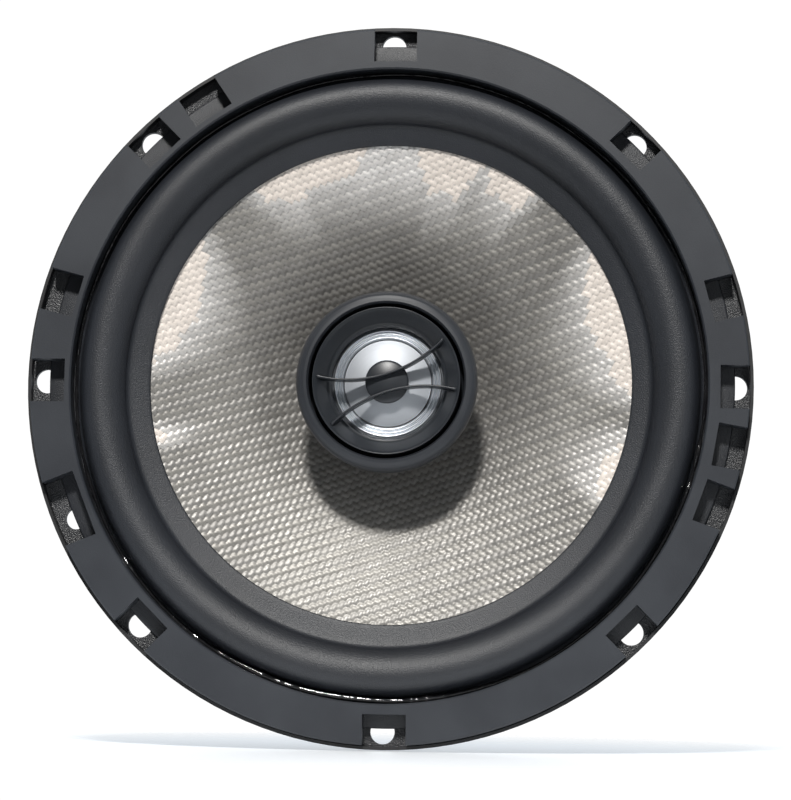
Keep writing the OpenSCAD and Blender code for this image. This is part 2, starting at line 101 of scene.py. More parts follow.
class Nodes:
    """A material's node tree, with short calls for the nodes used here."""

    def __init__(self, name):
        self.material = bpy.data.materials.new(name)
        self.material.use_nodes = True
        self.tree = self.material.node_tree
        self.tree.nodes.clear()
        self.out = self.node("ShaderNodeOutputMaterial")
        self.shader = self.node("ShaderNodeBsdfPrincipled")
        self.link(self.shader.outputs[0], self.out.inputs["Surface"])

    def node(self, kind):
        return self.tree.nodes.new(kind)

    def link(self, a, b):
        self.tree.links.new(a, b)

    def put(self, socket, value):
        if hasattr(value, "is_output"):
            self.link(value, socket)
        else:
            socket.default_value = value

    def fill(self, node, *values):
        """Puts the values into the node's first inputs and gives its first output."""
        for socket, value in zip(node.inputs, values):
            self.put(socket, value)
        return node.outputs[0]

    def set(self, **values):
        for key, value in values.items():
            self.put(self.shader.inputs[key.replace("_", " ").title().replace("Ior", "IOR")], value)

    def place(self):
        """The point on the object, in metres in the row frame."""
        return self.node("ShaderNodeTexCoord").outputs["Object"]

    def split(self, vector):
        n = self.node("ShaderNodeSeparateXYZ")
        self.fill(n, vector)
        return n.outputs

    def join(self, x, y, z):
        return self.fill(self.node("ShaderNodeCombineXYZ"), x, y, z)

    def math(self, operation, a, b=0.0):
        n = self.node("ShaderNodeMath")
        n.operation = operation
        return self.fill(n, a, b)

    def add(self, a, b):
        return self.math("ADD", a, b)

    def times(self, a, b):
        return self.math("MULTIPLY", a, b)

    def sine(self, a):
        return self.math("SINE", a)

    def distance(self, a, b):
        return self.math("SQRT", self.add(self.times(a, a), self.times(b, b)))

    def radius(self):
        """Distance from the speaker's axis."""
        x, _, z = self.split(self.place())
        return self.distance(x, z)

    def fade(self, value, low, high, to_low=0.0, to_high=1.0):
        n = self.node("ShaderNodeMapRange")
        n.interpolation_type = "SMOOTHSTEP"
        return self.fill(n, value, low, high, to_low, to_high)

    def noise(self, scale, detail=2.0, rough=0.5, at=None, stretch=None):
        n = self.node("ShaderNodeTexNoise")
        at = at if at is not None else self.place()
        if stretch:
            mapping = self.node("ShaderNodeMapping")
            mapping.inputs["Scale"].default_value = stretch
            at = self.fill(mapping, at)
        self.link(at, n.inputs["Vector"])
        n.inputs["Scale"].default_value = scale
        n.inputs["Detail"].default_value = detail
        n.inputs["Roughness"].default_value = rough
        return n.outputs[0]

    def cells(self, scale):
        n = self.node("ShaderNodeTexVoronoi")
        self.link(self.place(), n.inputs["Vector"])
        n.inputs["Scale"].default_value = scale
        return n.outputs["Distance"]

    def attribute(self, name, output="Fac"):
        n = self.node("ShaderNodeAttribute")
        n.attribute_name = name
        return n.outputs[output]

    def mix(self, factor, a, b):
        n = self.node("ShaderNodeMix")
        n.data_type = "RGBA"
        self.put(n.inputs[0], factor)
        for socket, value in ((n.inputs[6], a), (n.inputs[7], b)):
            self.put(socket, (*value, 1.0) if isinstance(value, tuple) else value)
        return n.outputs[2]

    def scale_colour(self, colour, factor):
        n = self.node("ShaderNodeVectorMath")
        n.operation = "SCALE"
        self.link(colour, n.inputs[0])
        self.link(factor, n.inputs["Scale"])
        return n.outputs[0]

    def bump(self, height, strength, distance):
        n = self.node("ShaderNodeBump")
        n.inputs["Strength"].default_value = strength
        n.inputs["Distance"].default_value = distance
        self.link(height, n.inputs["Height"])
        return n.outputs[0]


def grained(name, dark, light, roughness, grain=9000.0, depth=0.00003, strength=0.3,
            blotch=60.0, spread=0.06, metallic=0.0, stretch=None, **sockets):
    """A moulded or plated surface: slow colour variation, fine grain in the gloss and the relief."""
    n = Nodes(name)
    slow = n.noise(blotch, 3.0)
    fine = n.noise(grain, 2.0, stretch=stretch)
    fine_gloss = n.times(n.math("SUBTRACT", fine, 0.5), spread * 2)
    slow_gloss = n.add(n.times(slow, spread), roughness - spread / 2)
    n.set(base_color=n.mix(n.fade(slow, 0.3, 0.7), dark, light), metallic=metallic,
          roughness=n.add(fine_gloss, slow_gloss), normal=n.bump(fine, strength, depth))
    n.set(**sockets)
    return n.material


def shade(node, material):
    o = NODES[node]
    o.data.materials.clear()
    o.data.materials.append(material)


# ---------------------------------------------------------------- mesh helpers

# Points closer than this, in metres, are one point.
SAME_POINT = 1e-8


def mesh_object(name, points, faces, material):
    mesh = bpy.data.meshes.new(name)
    mesh.from_pydata([tuple(p) for p in np.asarray(points, float) * MM], [],
                     [tuple(int(i) for i in f) for f in faces])
    mesh.validate()
    bm = bmesh.new()
    bm.from_mesh(mesh)
    bmesh.ops.remove_doubles(bm, verts=bm.verts, dist=SAME_POINT)
    bmesh.ops.recalc_face_normals(bm, faces=bm.faces)
    bm.to_mesh(mesh)
    bm.free()
    for face in mesh.polygons:
        face.use_smooth = True
    mesh.materials.append(material)
    obj = bpy.data.objects.new(name, mesh)
    bpy.context.scene.collection.objects.link(obj)
    return obj


def tube_faces(rings, around):
    """Faces between rings of points that follow one another."""
    return [[i * around + k, i * around + (k + 1) % around,
             (i + 1) * around + (k + 1) % around, (i + 1) * around + k]
            for i in range(rings - 1) for k in range(around)]


def end_caps(rings, around):
    return [list(range(around)), [(rings - 1) * around + k for k in range(around)]]


def revolve(name, loop, material, steps, wobble=None):
    """A closed outline of (radius, y) points turned round the axis."""
    loop = np.asarray(loop, float)
    n = len(loop)
    t = np.linspace(0, TURN, steps, endpoint=False)
    r = np.repeat(loop[None, :, 0], steps, 0)
    y = np.repeat(loop[None, :, 1], steps, 0)
    if wobble is not None:
        dr, dy = wobble(t[:, None], loop[None, :, 0], loop[None, :, 1])
        r, y = r + dr, y + dy
    points = np.stack([r * np.sin(t)[:, None], y, r * np.cos(t)[:, None]], -1).reshape(-1, 3)
    i, k = np.meshgrid(np.arange(steps), np.arange(n), indexing="ij")
    next_i, next_k = (i + 1) % steps, (k + 1) % n
    corners = [i * n + k, i * n + next_k, next_i * n + next_k, next_i * n + k]
    return mesh_object(name, points, np.stack(corners, -1).reshape(-1, 4), material)


def directions(path):
    d = np.gradient(path, axis=0)
    return d / np.linalg.norm(d, axis=1)[:, None]


def thick(path, t, cap=4):
    """A path of sheet material as a closed outline with rounded ends."""
    path = np.asarray(path, float)
    d = directions(path)
    left = np.stack([-d[:, 1], d[:, 0]], 1)
    a, b = path + left * t / 2, path - left * t / 2

    def round_end(centre, out, side):
        return [centre + t / 2 * (math.cos(q) * side + math.sin(q) * out)
                for q in np.linspace(0, math.pi, cap + 2)[1:-1]]

    return np.array([*a, *round_end(path[-1], d[-1], left[-1]), *b[::-1],
                     *round_end(path[0], -d[0], -left[0])])


def arc(cx, cy, r, a1, a2, n):
    t = np.radians(np.linspace(a1, a2, n))
    return np.stack([cx + r * np.cos(t), cy + r * np.sin(t)], 1)


def radial_blend(obj):
    """Bakes the piece's placement into its mesh."""
    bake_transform(obj)


# ---------------------------------------------------------------- materials

# Where the front of the basket's flange is, in y.
FLANGE_FACE = -1.2
# How the two sets of yarns run in the front view, in degrees from +X towards +Z.
WARP_ANGLE, WEFT_ANGLE = -24.9, 62.1
# The weave's pitch behind, and the spider's thread wave in radians for each metre.
BACK_PITCH = 2.4
THREAD_WAVE = 9000.0


def sandy_paint():
    """Black paint on the steel, smooth behind and with a sandpaper's relief on the flange's face."""
    n = Nodes("sandy_paint")
    _, y, _ = n.split(n.place())
    behind = n.fade(y, (FLANGE_FACE + 0.3) * MM, (FLANGE_FACE + 0.1) * MM)
    before = n.fade(y, (FLANGE_FACE - 0.3) * MM, (FLANGE_FACE - 0.1) * MM)
    face = n.times(behind, before)
    coarse = n.cells(3600.0)
    fine = n.noise(5200.0, 3.0)
    slow = n.noise(45.0, 3.0)
    sand = n.add(n.times(coarse, face), n.times(fine, n.fade(face, 0.0, 1.0, 0.03, 0.25)))
    black = n.mix(n.fade(slow, 0.3, 0.7), (0.008, 0.0082, 0.0092), (0.012, 0.0125, 0.014))
    gloss = n.fade(face, 0.0, 1.0, 0.46, 0.34)
    n.set(base_color=n.mix(face, black, (0.024, 0.0255, 0.029)), specular_ior_level=0.6,
          roughness=n.add(gloss, n.times(fine, 0.06)), normal=n.bump(sand, 0.75, 0.00016))
    return n.material


def weave_cloth():
    """Woven glass fibre in resin: pale yarns with painted shade in the dips between them, and near
    the edge painted light that shines through from behind, with a painted glow round it and a
    painted sheen at the top.

    The attributes that it reads are written on the mesh by make_weave.
    """
    n = Nodes("weave_cloth")
    own = n.attribute("yarn_tone")
    # Painted light: the attribute named glue marks pale peach patches where light shining through
    # the cone from behind is painted into the colour, made less metallic.
    glue = n.attribute("glue")
    slow = n.noise(34.0, 3.0)
    speck = n.noise(2600.0, 2.0)
    silver = n.mix(n.fade(slow, 0.35, 0.7), (0.25, 0.24, 0.226), (0.335, 0.322, 0.3))
    silver = n.mix(n.times(n.attribute("warp"), 0.5), silver, (0.305, 0.29, 0.262))
    # Painted glow and sheen: halo pales the cloth round the painted backlight and at the top of the
    # cone.
    silver = n.mix(n.times(n.attribute("halo"), 0.83), silver, (0.78, 0.755, 0.73))
    tone = n.add(n.times(own, 0.12), 0.94)
    # Painted shade: the cloth is darkened in the dips between the yarns.
    tone = n.times(tone, n.fade(n.attribute("dip"), 0.0, 1.0, 1.0, 0.13))
    tone = n.times(tone, n.fade(speck, 0.25, 0.75, 0.92, 1.08))
    # Painted shade: the cone is darker towards its neck, where the tweeter and the steep wall shade
    # it.
    tone = n.times(tone, n.fade(n.radius(), 0.024, 0.042, 0.66, 1.0))
    strand = n.sine(n.times(n.attribute("across"), 46.0))
    relief = n.add(strand, n.times(speck, 0.6))
    n.set(base_color=n.scale_colour(n.mix(glue, silver, (0.83, 0.75, 0.68)), tone),
          metallic=n.fade(glue, 0.0, 1.0, 0.4, 0.1), roughness=n.fade(own, 0.0, 1.0, 0.42, 0.5),
          specular_ior_level=0.7, anisotropic=0.3, normal=n.bump(relief, 0.2, 0.00002),
          tangent=n.attribute("crosswise", "Vector"))
    return n.material


def weave_back():
    """The same cloth from behind, where the resin has soaked through and filled it."""
    n = Nodes("weave_back")
    x, _, z = n.split(n.place())
    c, s = math.cos(math.radians(WARP_ANGLE)), math.sin(math.radians(WARP_ANGLE))
    along = n.add(n.times(x, c), n.times(z, s))
    over = n.math("SUBTRACT", n.times(z, c), n.times(x, s))
    wave = TURN / (BACK_PITCH * MM)
    rows = n.sine(n.times(n.add(along, over), wave))
    floats = n.sine(n.times(over, 2 * wave))
    yarn = n.add(n.times(rows, 0.6), n.times(floats, 0.4))
    slow = n.noise(40.0, 3.0)
    pale = n.mix(n.fade(slow, 0.35, 0.7), (0.3, 0.29, 0.265), (0.4, 0.385, 0.35))
    n.set(base_color=n.mix(n.fade(yarn, -0.8, 0.3), (0.09, 0.085, 0.075), pale), metallic=0.2,
          roughness=n.fade(slow, 0.2, 0.8, 0.32, 0.45), normal=n.bump(yarn, 0.6, 0.00015))
    return n.material


def rubber(name, dark, light, roughness):
    """Butyl rubber: very fine grain, faint flow marks round the axis and a little bloom."""
    n = Nodes(name)
    fine = n.noise(4200.0, 2.0)
    flow = n.noise(1.0, 3.0, at=n.join(n.times(n.radius(), 700.0), n.noise(22.0, 2.0), 0.0))
    slow = n.noise(38.0, 4.0, 0.6)
    bloom = n.fade(n.add(n.times(slow, 0.7), n.times(flow, 0.3)), 0.35, 0.65)
    slow_gloss = n.add(n.times(slow, 0.06), roughness - 0.09)
    n.set(base_color=n.mix(bloom, dark, light), specular_ior_level=0.64,
          roughness=n.add(n.times(fine, 0.12), slow_gloss), normal=n.bump(fine, 0.9, 0.0001))
    return n.material


def turned_metal(name, dark, light, roughness, strength=0.15, metallic=1.0):
    """Metal with fine rings round the axis."""
    n = Nodes(name)
    rings = n.noise(1.0, 2.0, at=n.join(n.times(n.radius(), 9000.0), 0.0, 0.0))
    slow = n.noise(70.0, 3.0)
    slow_gloss = n.add(n.times(slow, 0.08), roughness - 0.08)
    n.set(base_color=n.mix(n.fade(slow, 0.3, 0.7), dark, light), metallic=metallic,
          roughness=n.add(n.times(rings, 0.08), slow_gloss), normal=n.bump(rings, strength, 0.00002))
    return n.material


def cloth(name, dark, light):
    """Resin-stiffened cotton: a plain weave of round threads with slubs."""
    n = Nodes(name)
    x, _, z = n.split(n.place())
    threads = n.times(n.sine(n.times(x, THREAD_WAVE)), n.sine(n.times(z, THREAD_WAVE)))
    slub = n.noise(300.0, 4.0, 0.6)
    tone = n.add(n.times(threads, 0.25), slub)
    n.set(base_color=n.mix(n.fade(tone, 0.3, 0.75), dark, light), roughness=0.75,
          normal=n.bump(threads, 0.5, 0.00008))
    return n.material


MATERIALS = {
    "paint": sandy_paint(),
    "ring": grained("ring_plastic", (0.0215, 0.0245, 0.031), (0.031, 0.035, 0.0425), 0.47,
                    grain=5200.0, depth=0.00005, strength=0.35, specular_ior_level=0.5),
    "glue": grained("glue_black", (0.006, 0.006, 0.007), (0.012, 0.012, 0.013), 0.09,
                    grain=900.0, depth=0.0002, strength=0.5, blotch=300.0,
                    specular_ior_level=0.9),
    "rubber": rubber("surround_rubber", (0.0125, 0.0145, 0.019), (0.0175, 0.02, 0.026), 0.46),
    "weave": weave_cloth(),
    "weave_back": weave_back(),
    "film": grained("former_film", (0.36, 0.2, 0.06), (0.48, 0.28, 0.09), 0.3, grain=2500.0),
    "copper": turned_metal("copper_wire", (0.5, 0.2, 0.09), (0.62, 0.28, 0.13), 0.3),
    "spider": cloth("spider_cloth", (0.2, 0.115, 0.032), (0.33, 0.2, 0.06)),
    "zinc": grained("zinc_plate", (0.38, 0.39, 0.41), (0.52, 0.53, 0.55), 0.36, grain=3500.0,
                    metallic=1.0, blotch=110.0, spread=0.12),
    "ferrite": grained("ferrite", (0.028, 0.028, 0.031), (0.05, 0.05, 0.054), 0.62,
                       grain=3000.0, depth=0.00008, strength=0.5),
    "boot": rubber("boot_rubber", (0.016, 0.0165, 0.018), (0.027, 0.028, 0.03), 0.5),
    "screw": grained("screw_steel", (0.55, 0.55, 0.56), (0.7, 0.7, 0.71), 0.26, grain=5000.0,
                     metallic=1.0, blotch=160.0, spread=0.12),
    "nylon": grained("post_nylon", (0.018, 0.018, 0.02), (0.03, 0.03, 0.033), 0.48),
    "tweeter": grained("tweeter_plastic", (0.024, 0.0265, 0.032), (0.032, 0.0355, 0.042), 0.42,
                       grain=7000.0, strength=0.25),
    "bezel": grained("bezel_plastic", (0.018, 0.0205, 0.025), (0.025, 0.0285, 0.034), 0.36,
                     grain=8000.0, depth=0.00002, strength=0.2, specular_ior_level=0.5),
    "dome": turned_metal("dome_film", (0.5, 0.525, 0.56), (0.58, 0.605, 0.64), 0.58,
                         strength=0.06, metallic=0.6),
    "edge": turned_metal("edge_film", (0.62, 0.65, 0.69), (0.72, 0.75, 0.79), 0.34, strength=0.05),
    "nickel": grained("nickel", (0.6, 0.59, 0.57), (0.72, 0.71, 0.69), 0.2, metallic=1.0),
    "felt": grained("felt", (0.03, 0.03, 0.032), (0.075, 0.075, 0.078), 0.9, grain=2200.0,
                    depth=0.0004, strength=0.8),
    "laminate": grained("laminate", (0.12, 0.062, 0.026), (0.18, 0.1, 0.045), 0.4,
                        grain=1600.0, stretch=(1.0, 1.0, 7.0), blotch=240.0),
    "brass": grained("tinned_brass", (0.62, 0.5, 0.26), (0.76, 0.66, 0.42), 0.24,
                     grain=3000.0, metallic=1.0, blotch=260.0, spread=0.1),
    "braid": grained("tinsel_braid", (0.4, 0.22, 0.09), (0.62, 0.38, 0.18), 0.4,
                     grain=3800.0, depth=0.0003, strength=0.8, metallic=0.8),
    "sleeve": grained("capacitor_sleeve", (0.016, 0.04, 0.115), (0.022, 0.055, 0.15), 0.24,
                      grain=1500.0),
    "strap": grained("nylon_strap", (0.012, 0.012, 0.013), (0.02, 0.02, 0.022), 0.42),
    "red": grained("red_insulation", (0.26, 0.012, 0.01), (0.34, 0.02, 0.016), 0.36, grain=2500.0),
    "black": grained("black_insulation", (0.01, 0.01, 0.011), (0.018, 0.018, 0.02), 0.36,
                     grain=2500.0),
}

LOOKS = {
    "basket": "paint", "trim_ring": "ring", "coil_former": "film", "coil_winding": "copper",
    "cone": "weave_back", "top_plate": "zinc", "magnet": "ferrite", "yoke": "zinc",
    "magnet_boot": "boot", "motor_screws": "screw", "tweeter_post": "nylon",
    "post_washer": "screw", "post_nut": "screw", "tweeter_housing": "tweeter",
    "tweeter_frame": "nylon", "tweeter_bezel": "bezel", "tweeter_dome": "dome",
    "tweeter_coil": "copper", "tweeter_pad": "felt", "tweeter_pole_plate": "zinc",
    "tweeter_magnet": "nickel", "tweeter_cup": "zinc", "terminal_board": "laminate",
    "board_rivets": "screw", "positive_terminal": "brass", "negative_terminal": "brass",
    "positive_tinsel": "braid", "negative_tinsel": "braid", "crossover_capacitor": "sleeve",
    "capacitor_strap": "strap", "tweeter_wire_positive": "red", "tweeter_wire_negative": "black",
    "ring_glue": "glue",
}
for node, key in LOOKS.items():
    shade(node, MATERIALS[key])

# ---------------------------------------------------------------- cone

CONE_T = 0.6
CONE_DEPTH, CONE_EDGE_Y = 17, -2
NECK_R, EDGE_R = 13.05, 60.0
# The wall leaves the edge with this slope and steepens inward to reach CONE_DEPTH at the neck.
SLOPE = 0.3
CURVE = (CONE_DEPTH - SLOPE * (EDGE_R - NECK_R)) / (EDGE_R - NECK_R) ** 3

# Two sets of yarns, each with the step to its next cell along it.
YARN_STEP = 1.189
YARN_1, YARN_2 = (YARN_STEP * np.array([math.cos(a), math.sin(a)])
                  for a in (math.radians(WARP_ANGLE), math.radians(WEFT_ANGLE)))
# Heights of a float's arch and of the yarn's own round back, and how flat-topped each is.
FLOAT_HIGH, FLOAT_POWER = 0.24, 2.6
YARN_HIGH, YARN_POWER = 0.09, 2.4
# Slow waves in the height: their share of it, and their run over the cells.
UNEVEN, UNEVEN_S, UNEVEN_T = 0.12, 0.7, 0.53
# Points lower than this are in a dip, where the colour is darkened as painted shade.
DIP_BELOW = 0.2
PER_CELL = 4
CLOTH_IN_R, CLOTH_OUT_R = NECK_R + 0.1, 56.2
# The yarns stand this far off the cone's face, and the cloth's rims come down almost to it.
CLOTH_LIFT, CLOTH_SINK = 0.07, -0.06
REACH = int(math.ceil((CLOTH_OUT_R + 3) / YARN_STEP)) + 2

# Painted light that shines through the cloth from behind, in patches between the basket's spokes:
# the clock angles of its ends and the radius where it starts.
BACKLIGHT_ARCS = [(-90, -48, 48.6), (-41, -2, 48.8), (4, 25, 46.5), (20, 40, 50.5), (51, 97, 49),
             (97, 122, 52.8), (-107, -99, 53.2)]
# At the ends of an arc it starts this much farther out, and its edge is ragged by two waves.
BACKLIGHT_TAPER = 20
RAGGED = [(0.8, 0.31, 1), (0.6, 0.83, 2)]
# Round the painted backlight the cloth is painted paler, a painted glow, for HALO_WIDE. At the top a
# painted sheen makes it paler up to TOP_CLOCK degrees each way, fading over TOP_FADE degrees, and
# outward from TOP_R over TOP_WIDE.
HALO_WIDE, HALO_POWER = 12, 1.3
TOP_CLOCK, TOP_FADE = 42, 30
TOP_R, TOP_WIDE, TOP_SHEEN = 36, 14, 1.2


def cone_y(r):
    """Depth of the cone's middle surface."""
    x = EDGE_R - r
    return CONE_EDGE_Y + CONE_T / 2 + SLOPE * x + CURVE * x ** 3


def twill(s, t):
    """Height of a two-over-two twill, and which set is on top, at cell coordinates s and t."""
    i, j = np.floor(s), np.floor(t)

    def float_over(x):
        over = np.mod(x, 4) < 2
        return np.where(over, 1, -1) * (1 - np.abs(np.mod(x, 2) - 1) ** FLOAT_POWER)

    def round_yarn(f):
        return 1 - np.abs(2 * f - 1) ** YARN_POWER

    one = FLOAT_HIGH * float_over(s - j) + YARN_HIGH * round_yarn(t - j)
    two = FLOAT_HIGH * float_over(t - i + 3) + YARN_HIGH * round_yarn(s - i)
    return np.maximum(one, two), one >= two


def cloth_height(s, t):
    """The twill's height. It jumps at the yarns' edges, so this is the mean of the four sides."""
    side = 1e-6
    h = np.zeros_like(s)
    for ds in (-side, side):
        for dt in (-side, side):
            h = h + twill(s + ds, t + dt)[0] / 4
    return h * (1 + UNEVEN * np.sin(s * UNEVEN_S + 1.3) * np.sin(t * UNEVEN_T))


def plane_point(s, t):
    return s[..., None] * YARN_1 + t[..., None] * YARN_2


def lay_on_cone(p, h):
    """Points of the plane, put on the cone's front face and raised along its normal."""
    r = np.hypot(p[..., 0], p[..., 1])
    on_cloth = np.clip(r, CLOTH_IN_R, CLOTH_OUT_R)
    p = p * (on_cloth / np.maximum(r, 1e-9))[..., None]
    slope = -(SLOPE + 3 * CURVE * (EDGE_R - on_cloth) ** 2)
    normal_r = slope / np.sqrt(1 + slope ** 2)
    normal_y = -1 / np.sqrt(1 + slope ** 2)
    lift = CONE_T / 2 + CLOTH_LIFT + h
    x = p[..., 0] * (1 + normal_r * lift / on_cloth)
    z = p[..., 1] * (1 + normal_r * lift / on_cloth)
    return np.stack([x, cone_y(on_cloth) + normal_y * lift, z], -1)


def float_middle(s, t, first):
    """The middle of the float that a place belongs to, in the plane."""
    i, j = np.floor(s), np.floor(t)
    middle_s = np.where(first, j + 4 * np.floor((s - j) / 4) + 1, i + 0.5)
    middle_t = np.where(first, j + 0.5, i - 3 + 4 * np.floor((t - i + 3) / 4) + 1)
    return plane_point(middle_s, middle_t)


def painted_backlight_and_halo(p):
    """Where painted light that shines through from behind falls on these floats, and how much
    painted glow and top sheen pale the cloth.
    """
    r = np.hypot(p[:, 0], p[:, 1])
    clock = np.degrees(np.arctan2(p[:, 0], p[:, 1]))
    ragged = sum(large * np.sin(clock * run + start) for large, run, start in RAGGED)
    glue = np.zeros(len(p))
    halo = np.zeros(len(p))
    for first, last, radius in BACKLIGHT_ARCS:
        off = (clock - (first + last) / 2 + 180) % 360 - 180
        share = np.clip(1 - (np.abs(off) / ((last - first) / 2)) ** 4, 0, 1)
        start = radius + (1 - share) * BACKLIGHT_TAPER + ragged
        glue = np.maximum(glue, (r > start) * 1.0)
        halo = np.maximum(halo, np.clip((r - start + HALO_WIDE) / HALO_WIDE, 0, 1))
    upper = np.clip((TOP_CLOCK - np.abs(clock)) / TOP_FADE, 0, 1)
    halo = np.maximum(halo, TOP_SHEEN * upper * np.clip((r - TOP_R) / TOP_WIDE, 0, 1))
    return glue, halo ** HALO_POWER


def write_values(mesh, name, domain, values):
    attribute = mesh.attributes.new(name, "FLOAT", domain)
    attribute.data.foreach_set("value", np.asarray(values, np.float32))


def make_weave():
    k = np.arange(2 * REACH * PER_CELL + 1) / PER_CELL - REACH
    s, t = np.meshgrid(k, k, indexing="ij")
    p = plane_point(s, t)
    r = np.hypot(p[..., 0], p[..., 1])
    inside = (r < CLOTH_OUT_R) & (r > CLOTH_IN_R)
    h = np.where(inside, cloth_height(s, t), CLOTH_SINK)
    # Faces with at least one corner inside are kept, and corners outside are pulled to the edge.
    kept = inside[:-1, :-1] | inside[1:, :-1] | inside[1:, 1:] | inside[:-1, 1:]
    used = np.zeros_like(inside)
    last = len(k) - 1
    for a in (0, 1):
        for b in (0, 1):
            used[a:last + a, b:last + b] |= kept
    index = -np.ones(used.shape, int)
    index[used] = np.arange(used.sum())
    i, j = np.nonzero(kept)
    faces = np.stack([index[i, j], index[i + 1, j], index[i + 1, j + 1], index[i, j + 1]], 1)
    points = lay_on_cone(p, h)[used]
    mesh = bpy.data.meshes.new("cone_cloth")
    mesh.from_pydata([tuple(v) for v in points * MM], [], faces.tolist())
    obj = bpy.data.objects.new("cone_cloth", mesh)
    bpy.context.scene.collection.objects.link(obj)
    mesh.materials.append(MATERIALS["weave"])
    for face in mesh.polygons:
        face.use_smooth = True

    # What each face belongs to: its yarn, and the painted light from behind at its float, kept as
    # glue, with the painted glow and sheen kept as halo.
    s, t = (i + 0.5) / PER_CELL - REACH, (j + 0.5) / PER_CELL - REACH
    _, first = twill(s, t)
    i, j = np.floor(s).astype(int), np.floor(t).astype(int)
    tone_1 = rng.random(4 * REACH)
    tone_2 = rng.random(4 * REACH)
    glue, halo = painted_backlight_and_halo(float_middle(s, t, first))
    write_values(mesh, "warp", "FACE", first * 1.0)
    write_values(mesh, "yarn_tone", "FACE",
                 np.where(first, tone_1[j + 2 * REACH], tone_2[i + 2 * REACH]))
    write_values(mesh, "glue", "FACE", glue)
    write_values(mesh, "halo", "FACE", halo)
    # How deep each point lies between the yarns, which darkens it as painted shade, and where each
    # face is across its yarn.
    write_values(mesh, "dip", "POINT", np.clip(1 - h[used] / DIP_BELOW, 0, 1))
    write_values(mesh, "across", "FACE", np.where(first, t - j, s - i))
    d = np.where(first[:, None], YARN_2 / YARN_STEP, YARN_1 / YARN_STEP)
    crosswise = np.stack([d[:, 0], 0 * d[:, 0], d[:, 1]], 1).astype(np.float32)
    run = mesh.attributes.new("crosswise", "FLOAT_VECTOR", "FACE")
    run.data.foreach_set("vector", crosswise.ravel())
    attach(obj, "cone_assembly")


make_weave()

# ---------------------------------------------------------------- surround

SHEET = 0.7
ROLL_R, ROLL_MID_R = 5.05, 65.25
ROLL_IN_R, ROLL_OUT_R = 60.2, 70.4
# The roll is a little less than half a circle, and its crest is this much outside its middle.
ROLL_FROM, ROLL_TO, ROLL_POINTS = 190, 352, 44
ROLL_SKEW = 0.75
LIP_Y = FLANGE_FACE - SHEET / 2
LIP_IN_R, LIP_OUT_R = 54.95, 78.2
FLAT_START_R, FLAT_MIDDLE_R = ROLL_OUT_R + 0.35, 72
# Both lips are off centre at their rims, and centred from these radii to the roll.
LIP_OFF, LIP_OFF_CLOCK = 0.5, math.radians(35)
CENTRED_IN_R, CENTRED_OUT_R = 58, 74
# From the cone's middle surface to the middle of the lip that lies on it.
LIP_GAP = 1.05


def off_centre(t, r, y):
    outer = np.clip((r - CENTRED_OUT_R) / (LIP_OUT_R - CENTRED_OUT_R), 0, 1)
    inner = np.clip((CENTRED_IN_R - r) / (CENTRED_IN_R - LIP_IN_R), 0, 1)
    return LIP_OFF * (outer + inner) * np.cos(t - LIP_OFF_CLOCK) + 0 * y, 0 * r + 0 * t


def make_surround():
    roll_y = (cone_y(ROLL_IN_R) - LIP_GAP + LIP_Y) / 2
    inner = [[r, cone_y(r) - LIP_GAP] for r in np.linspace(LIP_IN_R + SHEET / 2, ROLL_IN_R - 1, 8)]
    roll = arc(ROLL_MID_R, roll_y, ROLL_R, ROLL_FROM, ROLL_TO, ROLL_POINTS)
    roll[:, 0] += ROLL_SKEW * (1 - ((roll[:, 0] - ROLL_MID_R) / ROLL_R) ** 2)
    flat = (FLAT_START_R, FLAT_MIDDLE_R, CENTRED_OUT_R, LIP_OUT_R - SHEET / 2)
    outer = [[r, LIP_Y] for r in flat]
    loop = thick(np.concatenate([inner, roll, outer]), SHEET)
    obj = revolve("surround_roll", loop, MATERIALS["rubber"], steps=288, wobble=off_centre)
    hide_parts("surround")
    radial_blend(obj)


make_surround()

# ---------------------------------------------------------------- spider

SPIDER_T = 0.5
SPIDER_Y = 21.55
SPIDER_WAVES, SPIDER_HIGH, PER_WAVE = 5, 1.4, 14
WAVE_IN_R, WAVE_OUT_R = 17, 40
SPIDER_IN_FLAT = (13.15, 14.4, 15.8)
SPIDER_OUT_FLAT = (41.5, 44, 46.5, 48.85)


def make_spider():
    r = np.linspace(WAVE_IN_R, WAVE_OUT_R, SPIDER_WAVES * PER_WAVE + 1)
    phase = TURN * SPIDER_WAVES * (r - WAVE_IN_R) / (WAVE_OUT_R - WAVE_IN_R)
    wave = np.stack([r, SPIDER_Y - SPIDER_HIGH * np.sin(phase)], 1)
    flat_in, flat_out = ([[r, SPIDER_Y] for r in flat] for flat in (SPIDER_IN_FLAT, SPIDER_OUT_FLAT))
    loop = thick(np.concatenate([flat_in, wave, flat_out]), SPIDER_T)
    obj = revolve("spider_disc", loop, MATERIALS["spider"], steps=192)
    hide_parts("spider")
    radial_blend(obj)


make_spider()

# ---------------------------------------------------------------- tweeter's ridged edge

FILM_T = 0.27
FILM_Y = -3.25
RIDGES, RIDGE_HIGH, PER_RIDGE = 3, 0.35, 12
RIDGE_IN_R, RIDGE_OUT_R = 10.15, 12.4
# The outer ridges stand farther forward, and the film then drops to its clamped rim.
RISE_IN_R, RISE_OUT_R, RISE_HIGH = 11.2, 12.4, 0.3
DROP_R, DROP_Y = 12.62, FILM_Y - 0.2
CLAMPED_R = (12.9, 13.6, 14.45)


